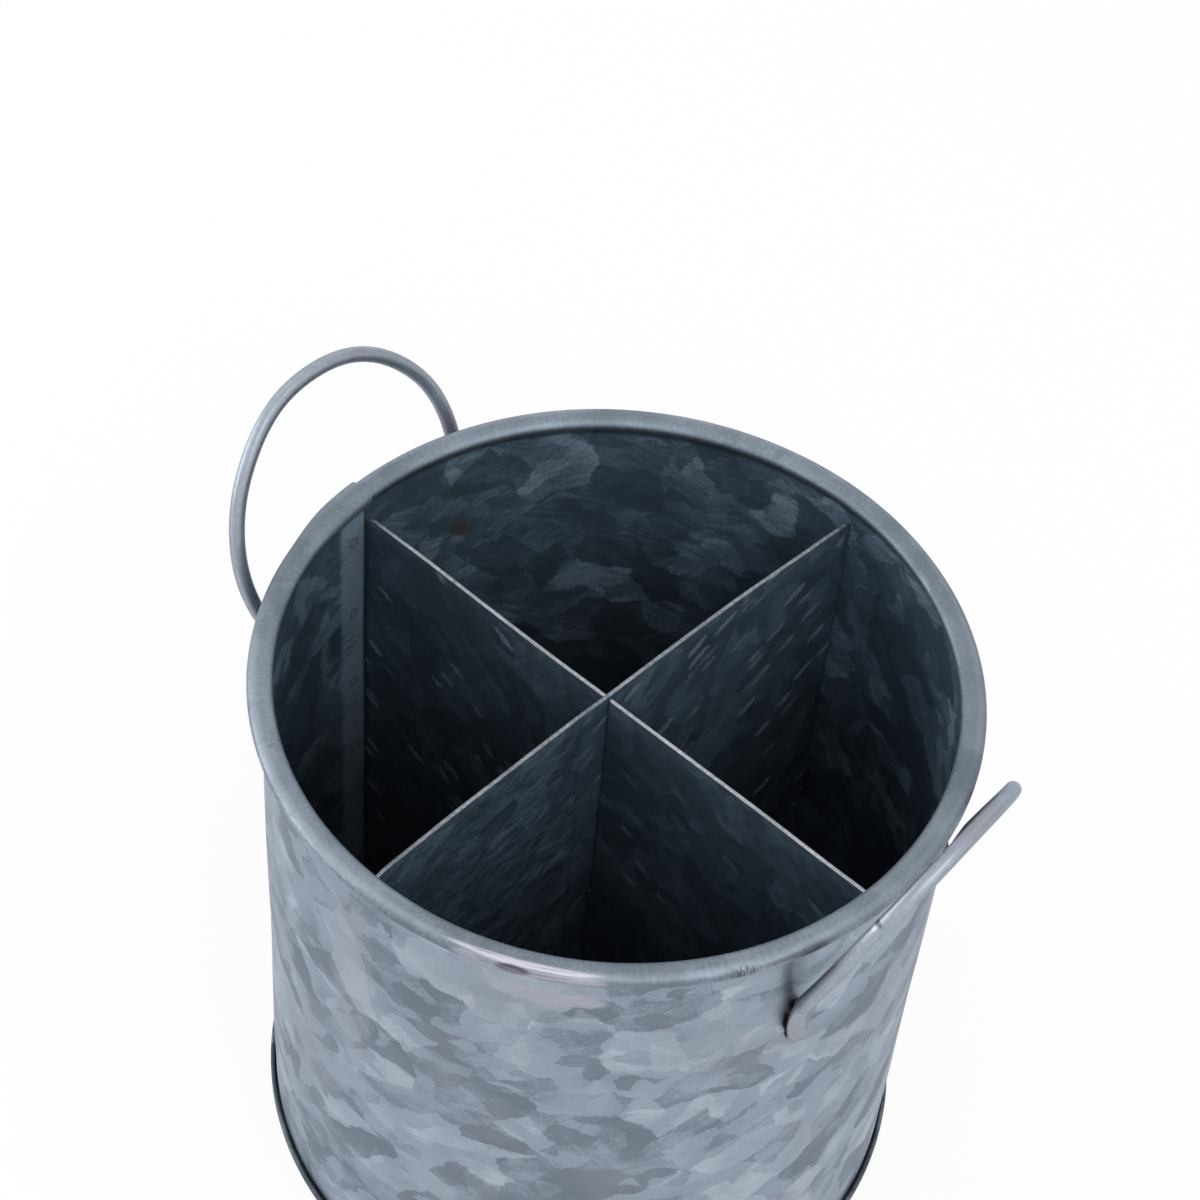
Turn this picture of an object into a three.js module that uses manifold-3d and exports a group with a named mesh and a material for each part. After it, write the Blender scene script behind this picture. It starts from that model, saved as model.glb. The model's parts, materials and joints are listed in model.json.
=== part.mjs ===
// Cutlery caddy: a round galvanised tin with a crossed divider inside and two wire loop handles outside.
// Millimetres, +Z up. The origin is the middle of the underside and +X points at the front handle.
import * as THREE from 'three';
import { mergeVertices } from 'three/addons/utils/BufferGeometryUtils.js';
import Module from 'manifold-3d';

const wasm = await Module();
wasm.setup();

// Sheet and fits
const sheet_thickness = 0.5;
const fit_gap = 0.3;

// Body wall and its lapped seam
const wall_outer_radius = 75.0;
const rim_top_height = 150.0;
const lap_width = 7.8;
const lap_gap = 0.15;
const lap_fade_width = 15.0;
const seam_angle = 181.5;
const spot_weld_diameter = 3.0;
const spot_weld_count = 6;

// Hollow rolled rim
const rim_half_width = 2.75;
const rim_half_height = 1.85;
const rim_step_out = 0.25;
const rim_turn_in_angle = 45;
const rim_curl_end_angle = -90;

// Base
const base_thickness = 0.6;
const foot_hem_height = 2.5;
const foot_hem_gap = 0.12;

// Divider
const plate_thickness = 1.0;
const plate_drop = 9.0;
const plate_corner_radius = 6.0;

// How the divider was dropped in: each plate a little off the middle, and one a little out of square
const plate_under_shift = -1.4;
const plate_over_shift = -0.9;
const plate_over_turn = 2.65;

// Handles
const handle_wire_diameter = 3.5;
const handle_half_width = 32.3;
const handle_half_height = 35.6;
const handle_tip_thickness = 2.0;
const handle_tip_width = 5.0;
const handle_contact_ease = 0.6;

// How each handle was set: where it stands, how far it leans out, and where its legs meet the wall
const handle_front_angle = 2.8;
const handle_front_lean = 18;
const handle_front_leg_turn = 22.7;
const handle_front_weld_drop = 27.3;
const handle_front_tip_length = 11.0;
const handle_back_angle = 180;
const handle_back_lean = 20;
const handle_back_leg_turn = 39.3;
const handle_back_weld_drop = 33.0;
const handle_back_tip_length = 7.0;

// How finely the round shapes are stepped
const wall_step = 6;
const wire_sides = 12;

// Sizes that follow from those above
const wall_middle_radius = wall_outer_radius - sheet_thickness / 2;
const wall_inner_radius = wall_outer_radius - sheet_thickness;
const curl_half_width = rim_half_width - sheet_thickness / 2;
const curl_half_height = rim_half_height - sheet_thickness / 2;
const rim_centre_radius = wall_outer_radius + rim_step_out;
const rim_centre_height = rim_top_height - rim_half_height;
const lap_rise = sheet_thickness + lap_gap;
const lap_angle = THREE.MathUtils.radToDeg(lap_width / wall_middle_radius);
const lap_fade_angle = THREE.MathUtils.radToDeg(lap_fade_width / wall_middle_radius);

// Finishes
const spangled_zinc = metal('spangled_zinc', 0x98a3ad, 0.45);
const foot_zinc = metal('foot_zinc', 0x6d7880, 0.55);
const divider_zinc = metal('divider_zinc', 0x737d87, 0.5);
const handle_zinc = metal('handle_zinc', 0x8f9aa5, 0.4);

function metal(name, color, roughness) {
  const material = new THREE.MeshStandardMaterial({ color, roughness, metalness: 0.85 });
  material.name = name;
  return material;
}

function radians(degrees) {
  return THREE.MathUtils.degToRad(degrees);
}

function cosine(degrees) {
  return Math.cos(radians(degrees));
}

function sine(degrees) {
  return Math.sin(radians(degrees));
}

// Skin between a row of equal rings of points. Open rows are closed by the given end triangles.
function skin(rings, end_triangles) {
  const count = rings[0].length;
  const positions = rings.flat().flatMap((point) => [point.x, point.y, point.z]);
  const triangles = [];
  const spans = end_triangles ? rings.length - 1 : rings.length;
  for (let ring = 0; ring < spans; ring += 1) {
    const here = ring * count;
    const next = ((ring + 1) % rings.length) * count;
    for (let side = 0; side < count; side += 1) {
      const turn = (side + 1) % count;
      triangles.push([here + side, here + turn, next + turn]);
      triangles.push([here + side, next + turn, next + side]);
    }
  }
  if (end_triangles) {
    const last = (rings.length - 1) * count;
    for (const [a, b, c] of end_triangles) {
      triangles.push([a, c, b]);
      triangles.push([last + a, last + b, last + c]);
    }
  }
  const geometry = new THREE.BufferGeometry();
  geometry.setAttribute('position', new THREE.Float32BufferAttribute(positions, 3));
  geometry.setIndex(facing_out(positions, triangles).flat());
  return geometry;
}

// Turn every triangle round when the skin came out inside out.
function facing_out(positions, triangles) {
  const at = (index) => new THREE.Vector3().fromArray(positions, index * 3);
  let volume = 0;
  for (const [a, b, c] of triangles) {
    volume += at(a).dot(at(b).cross(at(c)));
  }
  if (volume > 0) {
    return triangles;
  }
  return triangles.map(([a, b, c]) => [a, c, b]);
}

// Bare positions with the points that coincide joined, so that every edge is shared.
function joined_up(geometry) {
  const bare = geometry.clone();
  bare.deleteAttribute('normal');
  bare.deleteAttribute('uv');
  return mergeVertices(bare, 1e-5);
}

function solid_from(geometry) {
  const joined = joined_up(geometry);
  const mesh = new wasm.Mesh({
    numProp: 3,
    vertProperties: new Float32Array(joined.attributes.position.array),
    triVerts: new Uint32Array(joined.index.array),
  });
  return new wasm.Manifold(mesh);
}

function geometry_from(solid) {
  const mesh = solid.getMesh();
  const geometry = new THREE.BufferGeometry();
  geometry.setAttribute('position', new THREE.Float32BufferAttribute(mesh.vertProperties, 3));
  geometry.setIndex(Array.from(mesh.triVerts));
  return geometry;
}

function named_mesh(name, geometry, material) {
  geometry.computeVertexNormals();
  const mesh = new THREE.Mesh(geometry, material);
  mesh.name = name;
  return mesh;
}

// Body wall.
// The sheet's middle line from the bottom edge, up the wall, in by an S-bend and out round the oval rim.
function wall_middle_line() {
  const join_turn = Math.atan((curl_half_height / curl_half_width) * Math.tan(radians(rim_turn_in_angle)));
  const join = curl_place(180 + THREE.MathUtils.radToDeg(join_turn));
  const bend_radius = (wall_middle_radius - join.radius) / (1 - cosine(rim_turn_in_angle));
  const bend_height = join.height - bend_radius * sine(rim_turn_in_angle);
  const line = [{ radius: wall_middle_radius, height: base_thickness + fit_gap, heading: 90 }];
  const bend_parts = 3;
  for (let part = 0; part < bend_parts; part += 1) {
    const turn = (rim_turn_in_angle * part) / bend_parts;
    line.push({
      radius: wall_middle_radius - bend_radius * (1 - cosine(turn)),
      height: bend_height + bend_radius * sine(turn),
      heading: 90 + turn,
    });
  }
  const curl_parts = 14;
  const curl_start = 180 + THREE.MathUtils.radToDeg(join_turn);
  for (let part = 0; part <= curl_parts; part += 1) {
    line.push(curl_place(THREE.MathUtils.lerp(curl_start, rim_curl_end_angle, part / curl_parts)));
  }
  return line;
}

// A place on the oval of the rim, and the way the sheet heads there.
function curl_place(turn) {
  const heading = Math.atan2(-curl_half_height * cosine(turn), curl_half_width * sine(turn));
  return {
    radius: rim_centre_radius + curl_half_width * cosine(turn),
    height: rim_centre_height + curl_half_height * sine(turn),
    heading: THREE.MathUtils.radToDeg(heading),
  };
}

// How far the sheet is set towards its inner face: a full step under the lap, then faded out.
function lap_offset(travel) {
  const fade = THREE.MathUtils.smoothstep(travel, lap_angle * 1.2, lap_angle + lap_fade_angle);
  return lap_rise * (1 - fade);
}

function wall_stations() {
  const stations = [0, lap_angle];
  const fade_parts = 4;
  for (let part = 1; part <= fade_parts; part += 1) {
    stations.push(lap_angle + (lap_fade_angle * part) / fade_parts);
  }
  const fade_end = stations[stations.length - 1];
  const steps = Math.ceil((360 - fade_end) / wall_step);
  for (let step = 1; step <= steps; step += 1) {
    stations.push(THREE.MathUtils.lerp(fade_end, 360, step / steps));
  }
  stations.push(360 + lap_angle);
  return stations;
}

function wall_ring(line, travel) {
  const angle = seam_angle + travel;
  const offset = lap_offset(travel);
  const point_at = (place, depth) => {
    const radius = place.radius - depth * sine(place.heading);
    const height = place.height + depth * cosine(place.heading);
    return new THREE.Vector3(radius * cosine(angle), radius * sine(angle), height);
  };
  const inner_face = line.map((place) => point_at(place, offset + sheet_thickness / 2));
  const outer_face = line.map((place) => point_at(place, offset - sheet_thickness / 2));
  return inner_face.concat(outer_face.reverse());
}

function body_wall() {
  const line = wall_middle_line();
  const rings = wall_stations().map((travel) => wall_ring(line, travel));
  const last = line.length * 2 - 1;
  const end_triangles = [];
  for (let place = 0; place < line.length - 1; place += 1) {
    end_triangles.push([place, place + 1, last - place - 1]);
    end_triangles.push([place, last - place - 1, last - place]);
  }
  let wall = solid_from(skin(rings, end_triangles));
  for (let weld = 0; weld < spot_weld_count; weld += 1) {
    wall = wall.add(solid_from(spot_weld(weld)));
  }
  return geometry_from(wall);
}

// One spot weld: a nugget that joins the two layers of the lap.
function spot_weld(index) {
  const spacing = (rim_centre_height - base_thickness) / spot_weld_count;
  const height = base_thickness + spacing * (index + 0.5);
  const radius = wall_middle_radius - lap_rise / 2;
  const middle = seam_angle + lap_angle / 2;
  const nugget = new THREE.CylinderGeometry(spot_weld_diameter / 2, spot_weld_diameter / 2, lap_rise, 8);
  nugget.rotateZ(Math.PI / 2);
  nugget.translate(radius * cosine(lap_angle / 2), 0, 0);
  nugget.rotateZ(radians(middle));
  nugget.translate(0, 0, height);
  return nugget;
}

// Base pan: a flat disc whose edge stands up round the foot of the wall and is hemmed down outside.
function base_pan() {
  const stand_inner = wall_outer_radius + fit_gap;
  const stand_outer = stand_inner + sheet_thickness;
  const hem_inner = stand_outer + foot_hem_gap;
  const hem_outer = hem_inner + sheet_thickness;
  const hem_shoulder = foot_hem_height - sheet_thickness;
  const profile = [
    [0, 0],
    [stand_outer, 0],
    [stand_outer, hem_shoulder],
    [hem_inner, hem_shoulder],
    [hem_inner, sheet_thickness],
    [hem_outer, sheet_thickness],
    [hem_outer, hem_shoulder],
    [(hem_inner + hem_outer) / 2, foot_hem_height - sheet_thickness / 4],
    [(stand_outer + hem_inner) / 2, foot_hem_height],
    [(stand_inner + stand_outer) / 2, foot_hem_height - sheet_thickness / 4],
    [stand_inner, hem_shoulder],
    [stand_inner, base_thickness],
    [0, base_thickness],
  ];
  const points = profile.map(([radius, height]) => new THREE.Vector2(radius, height));
  const pan = new THREE.LatheGeometry(points, Math.round(360 / wall_step));
  pan.rotateX(Math.PI / 2);
  pan.rotateZ(radians(seam_angle));
  return geometry_from(solid_from(pan));
}

// Divider plates: flat sheets across the whole bore, halved together where they cross.
// The slot place is how far along the plate the other one crosses it.
function divider_plate(slot_from_top, slot_place) {
  const half_length = wall_inner_radius - fit_gap;
  const bottom = base_thickness + fit_gap;
  const top = rim_top_height - plate_drop;
  const skew = (1 + sine(plate_over_turn)) / cosine(plate_over_turn);
  const half_slot = (plate_thickness / 2) * skew + fit_gap;
  const slot_start = slot_place - half_slot;
  const slot_stop = slot_place + half_slot;
  const middle = (bottom + top) / 2;
  const outline = new THREE.Shape();
  outline.moveTo(-half_length, bottom);
  if (!slot_from_top) {
    const slot_end = middle + fit_gap / 2;
    outline.lineTo(slot_start, bottom);
    outline.lineTo(slot_start, slot_end);
    outline.lineTo(slot_stop, slot_end);
    outline.lineTo(slot_stop, bottom);
  }
  outline.lineTo(half_length, bottom);
  outline.lineTo(half_length, top - plate_corner_radius);
  outline.quadraticCurveTo(half_length, top, half_length - plate_corner_radius, top);
  if (slot_from_top) {
    const slot_end = middle - fit_gap / 2;
    outline.lineTo(slot_stop, top);
    outline.lineTo(slot_stop, slot_end);
    outline.lineTo(slot_start, slot_end);
    outline.lineTo(slot_start, top);
  }
  outline.lineTo(-half_length + plate_corner_radius, top);
  outline.quadraticCurveTo(-half_length, top, -half_length, top - plate_corner_radius);
  outline.closePath();
  const options = { depth: plate_thickness, bevelEnabled: false, curveSegments: 4 };
  const plate = new THREE.ExtrudeGeometry(outline, options);
  plate.translate(0, 0, -plate_thickness / 2);
  plate.rotateX(Math.PI / 2);
  return joined_up(plate);
}

function plate_under() {
  const slot_place = plate_over_shift + (plate_under_shift * sine(plate_over_turn)) / cosine(plate_over_turn);
  const plate = divider_plate(true, slot_place);
  return plate.translate(0, plate_under_shift, 0);
}

function plate_over() {
  const slot_place = plate_under_shift / cosine(plate_over_turn);
  const plate = divider_plate(false, slot_place);
  plate.rotateZ(radians(90 - plate_over_turn));
  return plate.translate(plate_over_shift, 0, 0);
}

// Handle: an egg-round loop in a plane that leans out, its ends dressed flat on to the wall.
// The leg turn says how far below the loop's widest place the legs meet the wall.
function handle(angle, lean, leg_turn, weld_drop, tip_length) {
  const contact_radius = wall_outer_radius + fit_gap + handle_wire_diameter / 2;
  const weld_half_span = handle_half_width * cosine(leg_turn);
  const plane_radius = Math.sqrt(contact_radius ** 2 - weld_half_span ** 2);
  const plane_height = rim_top_height - weld_drop;
  const centre_rise = handle_half_height * sine(leg_turn);
  const tip_turn = leg_turn + THREE.MathUtils.radToDeg(tip_length / handle_half_height);
  const flat_turn = leg_turn - 12;

  const place_at = (turn) => {
    const rise = centre_rise + handle_half_height * sine(turn);
    const across = handle_half_width * cosine(turn);
    const out = plane_radius + rise * sine(lean);
    const below = turn > 90 ? turn - 180 : -turn;
    const flatness = THREE.MathUtils.smoothstep(below, flat_turn, leg_turn + 4);
    const half_thickness = THREE.MathUtils.lerp(handle_wire_diameter, handle_tip_thickness, flatness) / 2;
    const half_width = THREE.MathUtils.lerp(handle_wire_diameter, handle_tip_width, flatness) / 2;
    const nearest = wall_outer_radius + fit_gap + half_thickness;
    const spare = Math.hypot(out, across) - nearest;
    const radius = nearest + (spare + Math.hypot(spare, handle_contact_ease)) / 2;
    const around = Math.atan2(across, out);
    const middle = new THREE.Vector3(
      radius * Math.cos(around),
      radius * Math.sin(around),
      plane_height + rise * cosine(lean),
    );
    return { middle, around, half_thickness, half_width };
  };

  const first = -tip_turn;
  const last = 180 + tip_turn;
  const parts = 48;
  const places = [];
  for (let part = 0; part <= parts; part += 1) {
    places.push(place_at(THREE.MathUtils.lerp(first, last, part / parts)));
  }
  const rings = places.map((place, index) => {
    const before = places[Math.max(index - 1, 0)].middle;
    const after = places[Math.min(index + 1, parts)].middle;
    const along = after.clone().sub(before).normalize();
    return wire_ring(place, along, 1, 0);
  });
  const start_along = places[0].middle.clone().sub(places[1].middle).normalize();
  const end_along = places[parts].middle.clone().sub(places[parts - 1].middle).normalize();
  rings.unshift(wire_ring(places[0], start_along.clone().negate(), 0.6, -handle_tip_thickness / 3));
  rings.push(wire_ring(places[parts], end_along, 0.6, handle_tip_thickness / 3));

  const end_triangles = [];
  for (let side = 1; side < wire_sides - 1; side += 1) {
    end_triangles.push([0, side, side + 1]);
  }
  const loop = skin(rings, end_triangles);
  loop.rotateZ(radians(angle));
  return loop;
}

function front_handle() {
  return handle(
    handle_front_angle,
    handle_front_lean,
    handle_front_leg_turn,
    handle_front_weld_drop,
    handle_front_tip_length,
  );
}

function back_handle() {
  return handle(
    handle_back_angle,
    handle_back_lean,
    handle_back_leg_turn,
    handle_back_weld_drop,
    handle_back_tip_length,
  );
}

// One cross-section of the wire: an ellipse whose thin way points away from the wall.
function wire_ring(place, along, scale, shift) {
  const outward = new THREE.Vector3(Math.cos(place.around), Math.sin(place.around), 0);
  const thin = outward.addScaledVector(along, -outward.dot(along)).normalize();
  const wide = along.clone().cross(thin);
  const ring = [];
  for (let side = 0; side < wire_sides; side += 1) {
    const turn = (360 * side) / wire_sides;
    const point = place.middle.clone();
    point.addScaledVector(thin, place.half_thickness * scale * cosine(turn));
    point.addScaledVector(wide, place.half_width * scale * sine(turn));
    point.addScaledVector(along, shift);
    ring.push(point);
  }
  return ring;
}

const caddy = new THREE.Group();
caddy.name = 'cutlery_caddy';
caddy.add(named_mesh('body_wall', body_wall(), spangled_zinc));
caddy.add(named_mesh('base_pan', base_pan(), foot_zinc));
caddy.add(named_mesh('divider_plate_under', plate_under(), divider_zinc));
caddy.add(named_mesh('divider_plate_over', plate_over(), divider_zinc));
caddy.add(named_mesh('handle_front', front_handle(), handle_zinc));
caddy.add(named_mesh('handle_back', back_handle(), handle_zinc));

export default caddy;
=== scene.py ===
# %% [markdown]
# # A galvanised cutlery caddy
# The real object is a round tin of zinc-coated sheet. Its rim is rolled over, its foot is hemmed, a
# crossed divider stands inside it and a wire loop is welded to each side. This lesson dresses the plain
# solids of that tin with finer meshes and with procedural finishes.
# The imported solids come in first. They say where everything is, so nothing has to be placed by eye.

# %% Load the frame
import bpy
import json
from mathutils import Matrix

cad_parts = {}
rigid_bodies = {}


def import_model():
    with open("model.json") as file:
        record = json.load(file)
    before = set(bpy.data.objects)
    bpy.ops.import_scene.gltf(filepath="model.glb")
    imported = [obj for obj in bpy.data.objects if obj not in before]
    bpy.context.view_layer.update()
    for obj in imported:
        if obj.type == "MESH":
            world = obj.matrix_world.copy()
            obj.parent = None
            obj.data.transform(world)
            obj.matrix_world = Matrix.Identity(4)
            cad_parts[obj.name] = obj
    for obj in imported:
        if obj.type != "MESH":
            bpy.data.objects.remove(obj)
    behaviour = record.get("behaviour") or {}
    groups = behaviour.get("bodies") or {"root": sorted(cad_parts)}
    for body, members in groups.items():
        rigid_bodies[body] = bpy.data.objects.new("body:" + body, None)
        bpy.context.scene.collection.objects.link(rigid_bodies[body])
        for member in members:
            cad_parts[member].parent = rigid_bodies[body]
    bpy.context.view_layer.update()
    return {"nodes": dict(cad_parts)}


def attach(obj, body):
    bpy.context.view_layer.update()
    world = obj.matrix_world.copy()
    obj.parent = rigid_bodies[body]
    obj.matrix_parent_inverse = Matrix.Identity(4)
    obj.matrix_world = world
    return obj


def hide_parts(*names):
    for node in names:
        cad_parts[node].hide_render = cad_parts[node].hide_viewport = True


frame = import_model()
print("solids:", sorted(frame["nodes"]))

# %% Modules and units
import json
import math
import bmesh
import bpy
import numpy as np
from functools import partial
from mathutils import Matrix, Vector, noise
from types import SimpleNamespace

mm = 0.001
sheet_thickness = 0.5
fit_gap = 0.3
print("Blender works in metres, so", 1 / mm, "millimetres make one unit")

# %% [markdown]
# ## The camera
# The tin is seen from above, a little more steeply than 45 degrees, by a camera that was tipped
# sideways by about five degrees. A camera could be aimed with a Track To constraint, but that can't tip
# it. So its three axes are worked out here and put into its matrix.

# %% Camera
view_turn = math.radians(38.5)
view_drop = math.radians(49.165)
view_tip = math.radians(5.298)
camera_place = Vector((0.24198, -0.31284, 0.62954))

forward = Vector((
    -math.cos(view_drop) * math.sin(view_turn),
    math.cos(view_drop) * math.cos(view_turn),
    -math.sin(view_drop),
))
level_right = Vector((math.cos(view_turn), math.sin(view_turn), 0))
level_up = level_right.cross(forward)
camera_right = level_right * math.cos(view_tip) + level_up * math.sin(view_tip)
camera_up = level_up * math.cos(view_tip) - level_right * math.sin(view_tip)

camera_data = bpy.data.cameras.new("studio_camera")
camera_data.sensor_width = 36
camera_data.lens = 88.58
camera_data.clip_end = 50
camera = bpy.data.objects.new("studio_camera", camera_data)
camera.matrix_world = Matrix.Translation(camera_place) @ Matrix(
    (camera_right, camera_up, -forward)
).transposed().to_4x4()
bpy.context.collection.objects.link(camera)
bpy.context.scene.camera = camera
print("camera", round(camera_place.length, 3), "m from the middle of the foot")

# %% [markdown]
# ## Helpers for meshes
# Every piece below is worked out as rows of points in millimetres. These helpers turn such points into
# a mesh object, keep its hard edges hard, and store numbers on its points. A material can read those
# stored numbers with an Attribute node, which is a good way to tell it where a sheet was burnt or
# rubbed, or where shade is painted on it.

# %% Mesh helpers
def lay_mesh(name, points, faces, hard_angle=40):
    mesh = bpy.data.meshes.new(name)
    mesh.from_pydata((np.asarray(points) * mm).tolist(), [], faces)
    shell = bmesh.new()
    shell.from_mesh(mesh)
    bmesh.ops.recalc_face_normals(shell, faces=shell.faces)
    shell.to_mesh(mesh)
    shell.free()
    mesh.shade_smooth()
    mesh.set_sharp_from_angle(angle=math.radians(hard_angle))
    piece = bpy.data.objects.new(name, mesh)
    bpy.context.collection.objects.link(piece)
    print(name, "has", len(mesh.vertices), "points and", len(mesh.polygons), "faces")
    return piece


def store_numbers(piece, name, values):
    stored = piece.data.attributes.new(name, "FLOAT", "POINT")
    stored.data.foreach_set("value", np.asarray(values, dtype=np.float32).ravel())


def store_places(piece, name, values):
    stored = piece.data.attributes.new(name, "FLOAT_VECTOR", "POINT")
    stored.data.foreach_set("vector", np.asarray(values, dtype=np.float32).ravel())


def ease(value, low, high):
    part = np.clip((value - low) / (high - low), 0, 1)
    return part * part * (3 - 2 * part)


def uneven(points, size):
    values = [noise.noise(Vector(point) / size) for point in points.reshape(-1, 3)]
    return np.array(values).reshape(points.shape[:-1])


def on_ring(radius, angle, height):
    around = np.radians(angle)
    return np.stack((radius * np.cos(around), radius * np.sin(around), height), -1)


# %% [markdown]
# ## Where the handles run
# Each handle is one length of 3.5 mm wire bent to an egg-round loop that leans away from the tin. Its
# two ends are hammered flat and welded to the wall. The wall is marked where they sit, so the path of
# the wire is needed before the wall is made.
# No two loops bent by hand are alike, so each has its own settings. On the front one the near leg is
# set up to 4 mm inwards and ends more upright, and the far end is shorter.
# A Bezier curve with a bevel would give a wire too, but not the flat ends. So the path is a function
# that also says how thick and how wide the wire is at each place.

# %% Handle path
wall_outer_radius = 75.0
rim_top_height = 150.0
wire_diameter = 3.5
loop_half_width = 32.3
loop_half_height = 35.6
tip_thickness = 2.0
tip_width = 4.4
contact_ease = 0.6
contact_radius = wall_outer_radius + fit_gap + wire_diameter / 2


class HandleSetting:
    """How one handle was set: its place round the tin, its lean, and where its legs meet the wall."""

    def __init__(self, angle, lean, leg_turn, weld_drop, tip_lengths, leg_set, tip_spread):
        self.angle = angle
        self.leg_set = leg_set
        self.tip_spread = tip_spread
        self.lean = math.radians(lean)
        self.leg_turn = leg_turn
        self.foot_height = rim_top_height - weld_drop
        self.tip_turns = [leg_turn + math.degrees(length / loop_half_height) for length in tip_lengths]
        half_span = loop_half_width * math.cos(math.radians(leg_turn))
        self.plane_radius = math.sqrt(contact_radius ** 2 - half_span ** 2)


handles = {
    "handle_front": HandleSetting(
        angle=2.8, lean=18, leg_turn=22.7, weld_drop=27.3,
        tip_lengths=(11.0, 6.0), leg_set=4.0, tip_spread=3.2,
    ),
    "handle_back": HandleSetting(
        angle=180, lean=20, leg_turn=39.3, weld_drop=33.0,
        tip_lengths=(7.0, 7.0), leg_set=0.0, tip_spread=0.0,
    ),
}


def wire_place(turn, setting):
    leg_turn = setting.leg_turn
    rise = loop_half_height * (math.sin(math.radians(leg_turn)) + math.sin(math.radians(turn)))
    across = loop_half_width * math.cos(math.radians(turn))
    out = setting.plane_radius + rise * math.sin(setting.lean)
    below = turn - 180 if turn > 90 else -turn
    if turn > 90:
        across += setting.leg_set * float(ease(below, -90, 0))
        across -= setting.tip_spread * float(ease(below, leg_turn - 8, setting.tip_turns[0]))
    flatness = float(ease(below, leg_turn - 12, leg_turn + 4))
    half_thickness = (wire_diameter + (tip_thickness - wire_diameter) * flatness) / 2
    half_width = (wire_diameter + (tip_width - wire_diameter) * flatness) / 2
    nearest = wall_outer_radius + fit_gap + half_thickness
    spare = math.hypot(out, across) - nearest
    radius = nearest + (spare + math.hypot(spare, contact_ease)) / 2
    around = math.atan2(across, out)
    height = setting.foot_height + rise * math.cos(setting.lean)
    middle = np.array((radius * math.cos(around), radius * math.sin(around), height))
    return middle, around, half_thickness, half_width, flatness


# %% Weld spots
def wall_spot(turn, setting):
    middle, around = wire_place(turn, setting)[:2]
    return setting.angle + math.degrees(around), middle[2]


weld_spots = []
weld_slants = []
for setting in handles.values():
    near_tip, far_tip = setting.tip_turns
    for foot, top in ((180 + near_tip, 175 + setting.leg_turn), (-far_tip, 5 - setting.leg_turn)):
        low_angle, low_height = wall_spot(foot, setting)
        high_angle, high_height = wall_spot(top, setting)
        along = math.radians(high_angle - low_angle) * wall_outer_radius
        weld_spots.append(((low_angle + high_angle) / 2, (low_height + high_height) / 2))
        weld_slants.append(math.atan2(along, high_height - low_height))
print("welds, as degrees round the tin and height:", [(round(a, 1), round(z, 1)) for a, z in weld_spots])
print("slant of each tip in degrees:", [round(math.degrees(slant), 1) for slant in weld_slants])

# %% [markdown]
# ## The body sheet
# The wall is one strip of sheet, bent round until its ends lap and are spot welded. Its top edge turns
# in by a soft S-bend and is rolled outwards over itself, which makes the oval bead of the rim.
# A Spin or a Screw modifier would make a perfect tube. A hand-made tin isn't perfect: it has a lap, a
# step in the rim where the lap runs through it, and dents beside the welds. So the strip is swept here
# station by station, with the lap as a small set towards the inside.

# %% Line of the sheet from foot to rim
rim_half_width = 2.75
rim_half_height = 1.85
rim_step_out = 0.25
rim_turn_in = 45
rim_curl_end = -90
base_thickness = 0.6
wall_rows = 66
bend_rows = 7
curl_rows = 31

wall_middle = wall_outer_radius - sheet_thickness / 2
curl_half_width = rim_half_width - sheet_thickness / 2
curl_half_height = rim_half_height - sheet_thickness / 2
rim_radius = wall_outer_radius + rim_step_out
rim_height = rim_top_height - rim_half_height


def curl_place(turn):
    sideways = math.cos(math.radians(turn))
    upwards = math.sin(math.radians(turn))
    heading = math.degrees(math.atan2(-curl_half_height * sideways, curl_half_width * upwards))
    return rim_radius + curl_half_width * sideways, rim_height + curl_half_height * upwards, heading


def sheet_line():
    slope = math.tan(math.radians(rim_turn_in)) * curl_half_height / curl_half_width
    curl_start = 180 + math.degrees(math.atan(slope))
    join_radius, join_height = curl_place(curl_start)[:2]
    bend_radius = (wall_middle - join_radius) / (1 - math.cos(math.radians(rim_turn_in)))
    bend_height = join_height - bend_radius * math.sin(math.radians(rim_turn_in))
    line = []
    for height in np.linspace(base_thickness + fit_gap, bend_height, wall_rows)[:-1]:
        line.append((wall_middle, height, 90))
    for turn in np.linspace(0, rim_turn_in, bend_rows)[:-1]:
        bent = math.radians(turn)
        radius = wall_middle - bend_radius * (1 - math.cos(bent))
        line.append((radius, bend_height + bend_radius * math.sin(bent), 90 + turn))
    for turn in np.linspace(curl_start, rim_curl_end, curl_rows):
        line.append(curl_place(turn))
    return np.array(line), len(line) - curl_rows


body_line, rim_first = sheet_line()
steps_up = np.hypot(np.diff(body_line[:, 0]), np.diff(body_line[:, 1]))
line_length = np.concatenate(([0], np.cumsum(steps_up)))
print("sheet from foot to rolled edge:", round(line_length[-1], 1), "mm")

# %% Stations round the tin
seam_angle = 181.5
lap_width = 7.8
lap_gap = 0.15
lap_fade_width = 15.0
lap_rise = sheet_thickness + lap_gap
lap_angle = math.degrees(lap_width / wall_middle)
lap_fade_angle = math.degrees(lap_fade_width / wall_middle)


def turn_between(first, second):
    return (first - second + 180) % 360 - 180


def body_stations():
    stations = [0.0]
    marks = [angle for angle, height in weld_spots] + [seam_angle + lap_angle / 2]
    while stations[-1] < 360 + lap_angle - 0.2:
        here = seam_angle + stations[-1]
        nearest = min(abs(turn_between(here, mark)) for mark in marks)
        stations.append(stations[-1] + min(1.3, max(0.45, 0.12 * nearest)))
    stations[-1] = 360 + lap_angle
    return np.array(stations)


travel = body_stations()
lap_set = lap_rise * (1 - ease(travel, 1.2 * lap_angle, lap_angle + lap_fade_angle))
print(len(travel), "stations round the tin")

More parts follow.
